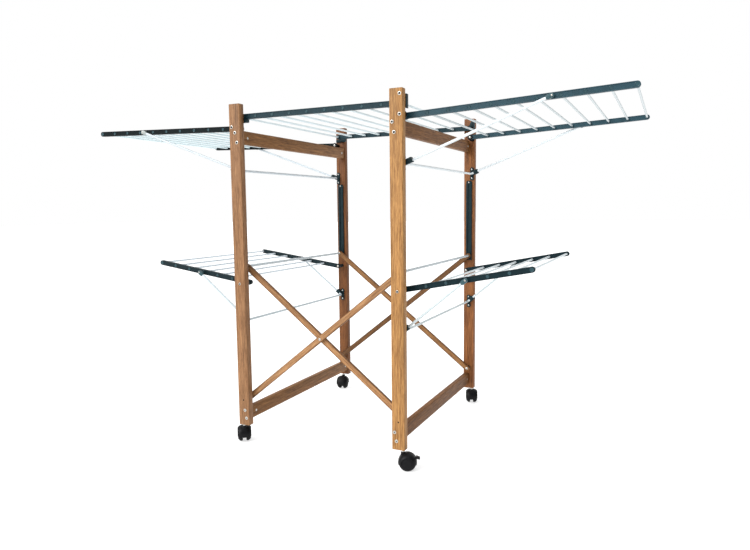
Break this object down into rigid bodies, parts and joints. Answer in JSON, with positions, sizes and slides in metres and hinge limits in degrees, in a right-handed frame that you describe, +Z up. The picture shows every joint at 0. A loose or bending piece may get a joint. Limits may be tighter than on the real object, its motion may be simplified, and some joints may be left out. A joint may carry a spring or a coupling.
{
  "type": "clothes drying rack",
  "caption": "Folding wooden clothes airer on casters with two upper wings, two lower wings, a middle shelf and X-braces.",
  "frame": {"origin": "on the floor, at the centre of the bounding box of the open rack", "axes": "+X from the left end frame to the right one, along the wings; +Y from front to back, along the rods; +Z up"},
  "size_m": [1.7119, 0.7326, 1.0439],
  "materials": {
    "beech_frame": "satin lacquer",
    "beech_slat": "satin lacquer",
    "green_plastic": "fine moulded",
    "white_coated_tube": "smooth plastic coat",
    "zinc_steel": "zinc plated",
    "black_plastic": "moulded"
  },
  "bodies": {
    "left_frame": {"post_front_left": "beech_frame", "post_back_left": "beech_frame", "crossrail_upper_left": "beech_frame", "crossrail_lower_left": "beech_frame", "track_front_left": "green_plastic", "track_back_left": "green_plastic", "clip_upper_front_left": "green_plastic", "clip_upper_back_left": "green_plastic", "clip_lower_front_left": "green_plastic", "clip_lower_back_left": "green_plastic", "shelf_hook_front": "green_plastic", "shelf_hook_back": "green_plastic"},
    "right_frame": {"post_front_right": "beech_frame", "post_back_right": "beech_frame", "crossrail_upper_right": "beech_frame", "crossrail_lower_right": "beech_frame", "track_front_right": "green_plastic", "track_back_right": "green_plastic", "clip_upper_front_right": "green_plastic", "clip_upper_back_right": "green_plastic", "clip_lower_front_right": "green_plastic", "clip_lower_back_right": "green_plastic"},
    "brace_a": {"slat_a_front": "beech_slat", "slat_a_back": "beech_slat", "brace_tube_a": "white_coated_tube", "brace_bolt_front": "zinc_steel", "brace_bolt_back": "zinc_steel"},
    "brace_b": {"slat_b_front": "beech_slat", "slat_b_back": "beech_slat", "brace_tube_b": "white_coated_tube"},
    "shelf": {"shelf_rail": "green_plastic", "shelf_rods": "white_coated_tube"},
    "wing_upper_left": {"wing_upper_left_rail": "green_plastic", "wing_upper_left_rods": "white_coated_tube"},
    "stay_upper_left": {"stay_upper_left": "white_coated_tube"},
    "wing_upper_right": {"wing_upper_right_rail": "green_plastic", "wing_upper_right_rods": "white_coated_tube"},
    "stay_upper_right": {"stay_upper_right": "white_coated_tube"},
    "wing_lower_left": {"wing_lower_left_rail": "green_plastic", "wing_lower_left_rods": "white_coated_tube"},
    "stay_lower_left": {"stay_lower_left": "white_coated_tube"},
    "wing_lower_right": {"wing_lower_right_rail": "green_plastic", "wing_lower_right_rods": "white_coated_tube"},
    "stay_lower_right": {"stay_lower_right": "white_coated_tube"},
    "caster_front_left": {"caster_front_left": "black_plastic"},
    "wheels_front_left": {"wheels_front_left": "black_plastic"},
    "caster_front_right": {"caster_front_right": "black_plastic"},
    "wheels_front_right": {"wheels_front_right": "black_plastic"},
    "caster_back_left": {"caster_back_left": "black_plastic"},
    "wheels_back_left": {"wheels_back_left": "black_plastic"},
    "caster_back_right": {"caster_back_right": "black_plastic"},
    "wheels_back_right": {"wheels_back_right": "black_plastic"},
    "brake_lever": {"brake_lever": "black_plastic"}
  },
  "joints": [
    {"name": "frame_fold", "type": "hinge", "parent": "left_frame", "child": "brace_a", "pos_m": [-0.2626, 0, 0.139], "axis": [0, -1, 0], "range_deg": [0, 41]},
    {"name": "brace_cross", "type": "hinge", "parent": "brace_a", "child": "brace_b", "pos_m": [0, 0, 0.34685], "axis": [0, 1, 0], "range_deg": [0, 82]},
    {"name": "right_frame_hinge", "type": "hinge", "parent": "brace_b", "child": "right_frame", "pos_m": [0.2626, 0, 0.139], "axis": [0, -1, 0], "range_deg": [0, 41]},
    {"name": "shelf_swing", "type": "hinge", "parent": "right_frame", "child": "shelf", "pos_m": [0.273, 0, 1.029], "axis": [0, 1, 0], "range_deg": [0, 82]},
    {"name": "wing_upper_left_hinge", "type": "hinge", "parent": "left_frame", "child": "wing_upper_left", "pos_m": [-0.2725, 0, 0.976], "axis": [0, -1, 0], "range_deg": [0, 88.7]},
    {"name": "stay_upper_left_hinge", "type": "hinge", "parent": "wing_upper_left", "child": "stay_upper_left", "pos_m": [-0.65833, 0, 0.98745], "axis": [0, 1, 0], "range_deg": [0, 160.96]},
    {"name": "wing_lower_left_hinge", "type": "hinge", "parent": "left_frame", "child": "wing_lower_left", "pos_m": [-0.2623, 0, 0.504], "axis": [0, -1, 0], "range_deg": [0, 98.5]},
    {"name": "stay_lower_left_hinge", "type": "hinge", "parent": "wing_lower_left", "child": "stay_lower_left", "pos_m": [-0.44428, 0, 0.5312], "axis": [0, 1, 0], "range_deg": [0, 155.11]},
    {"name": "wing_upper_right_hinge", "type": "hinge", "parent": "right_frame", "child": "wing_upper_right", "pos_m": [0.2725, 0, 0.976], "axis": [0, 1, 0], "range_deg": [0, 90]},
    {"name": "stay_upper_right_hinge", "type": "hinge", "parent": "wing_upper_right", "child": "stay_upper_right", "pos_m": [0.65797, 0, 0.9962], "axis": [0, -1, 0], "range_deg": [0, 161.1]},
    {"name": "wing_lower_right_hinge", "type": "hinge", "parent": "right_frame", "child": "wing_lower_right", "pos_m": [0.2623, 0, 0.504], "axis": [0, 1, 0], "range_deg": [0, 100.7]},
    {"name": "stay_lower_right_hinge", "type": "hinge", "parent": "wing_lower_right", "child": "stay_lower_right", "pos_m": [0.4431, 0, 0.53816], "axis": [0, -1, 0], "range_deg": [0, 155.8]},
    {"name": "caster_front_left_swivel", "type": "hinge", "parent": "left_frame", "child": "caster_front_left", "pos_m": [-0.2715, -0.334, 0.05], "axis": [0, 0, 1], "continuous": true},
    {"name": "wheels_front_left_roll", "type": "hinge", "parent": "caster_front_left", "child": "wheels_front_left", "pos_m": [-0.27902, -0.32402, 0.024], "axis": [-0.7986, -0.6018, 0], "continuous": true},
    {"name": "caster_front_right_swivel", "type": "hinge", "parent": "right_frame", "child": "caster_front_right", "pos_m": [0.2715, -0.334, 0.05], "axis": [0, 0, 1], "continuous": true},
    {"name": "wheels_front_right_roll", "type": "hinge", "parent": "caster_front_right", "child": "wheels_front_right", "pos_m": [0.28325, -0.32972, 0.024], "axis": [-0.342, 0.9397, 0], "continuous": true},
    {"name": "caster_back_left_swivel", "type": "hinge", "parent": "left_frame", "child": "caster_back_left", "pos_m": [-0.2715, 0.334, 0.05], "axis": [0, 0, 1], "continuous": true},
    {"name": "wheels_back_left_roll", "type": "hinge", "parent": "caster_back_left", "child": "wheels_back_left", "pos_m": [-0.2689, 0.32177, 0.024], "axis": [0.9781, 0.2079, 0], "continuous": true},
    {"name": "caster_back_right_swivel", "type": "hinge", "parent": "right_frame", "child": "caster_back_right", "pos_m": [0.2715, 0.334, 0.05], "axis": [0, 0, 1], "continuous": true},
    {"name": "wheels_back_right_roll", "type": "hinge", "parent": "caster_back_right", "child": "wheels_back_right", "pos_m": [0.26784, 0.34595, 0.024], "axis": [-0.9563, -0.2924, 0], "continuous": true},
    {"name": "brake_lever_hinge", "type": "hinge", "parent": "caster_front_right", "child": "brake_lever", "pos_m": [0.30739, -0.32094, 0.03766], "axis": [-0.342, 0.9397, 0], "range_deg": [0, 12]}
  ],
  "couplings": [
    {"joint": "brace_cross", "follows": "frame_fold", "ratio": 2},
    {"joint": "right_frame_hinge", "follows": "frame_fold", "ratio": 1},
    {"joint": "shelf_swing", "follows": "frame_fold", "ratio": 2},
    {"joint": "wing_lower_left_hinge", "follows": "wing_upper_left_hinge", "ratio": 1.1105},
    {"joint": "stay_lower_left_hinge", "follows": "wing_upper_left_hinge", "ratio": 1.7487},
    {"joint": "wing_lower_right_hinge", "follows": "wing_upper_right_hinge", "ratio": 1.1189},
    {"joint": "stay_lower_right_hinge", "follows": "wing_upper_right_hinge", "ratio": 1.7311}
  ]
}
